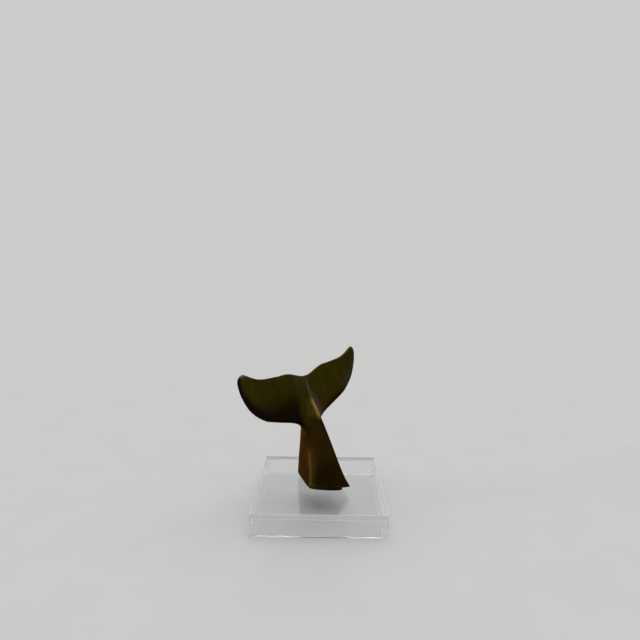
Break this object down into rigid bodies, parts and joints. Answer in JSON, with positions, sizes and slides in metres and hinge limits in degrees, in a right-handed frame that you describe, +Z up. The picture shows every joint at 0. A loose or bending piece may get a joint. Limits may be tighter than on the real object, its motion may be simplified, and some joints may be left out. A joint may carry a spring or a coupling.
{
  "type": "whale tail sculpture on a clear riser",
  "caption": "Small cast whale tail with a keeled stock and two raised flukes, screwed to a low square riser of clear sheet.",
  "frame": {"origin": "under the middle of the whole object's bounding box, on the surface it stands on", "axes": "+Z up, +X to the viewer's right, +Y away from the viewer along the riser's sides"},
  "size_m": [0.0856, 0.0972, 0.0946],
  "materials": {
    "bronze": "satin dark brown patina",
    "rubber": "matt black sheet",
    "acrylic": "clear polished sheet",
    "steel": "plain stainless"
  },
  "bodies": {
    "root": {"whale_tail": "bronze", "foot_pad": "rubber", "top_plate": "acrylic", "front_wall": "acrylic", "back_wall": "acrylic", "left_wall": "acrylic", "right_wall": "acrylic", "mounting_screw": "steel"}
  },
  "joints": []
}
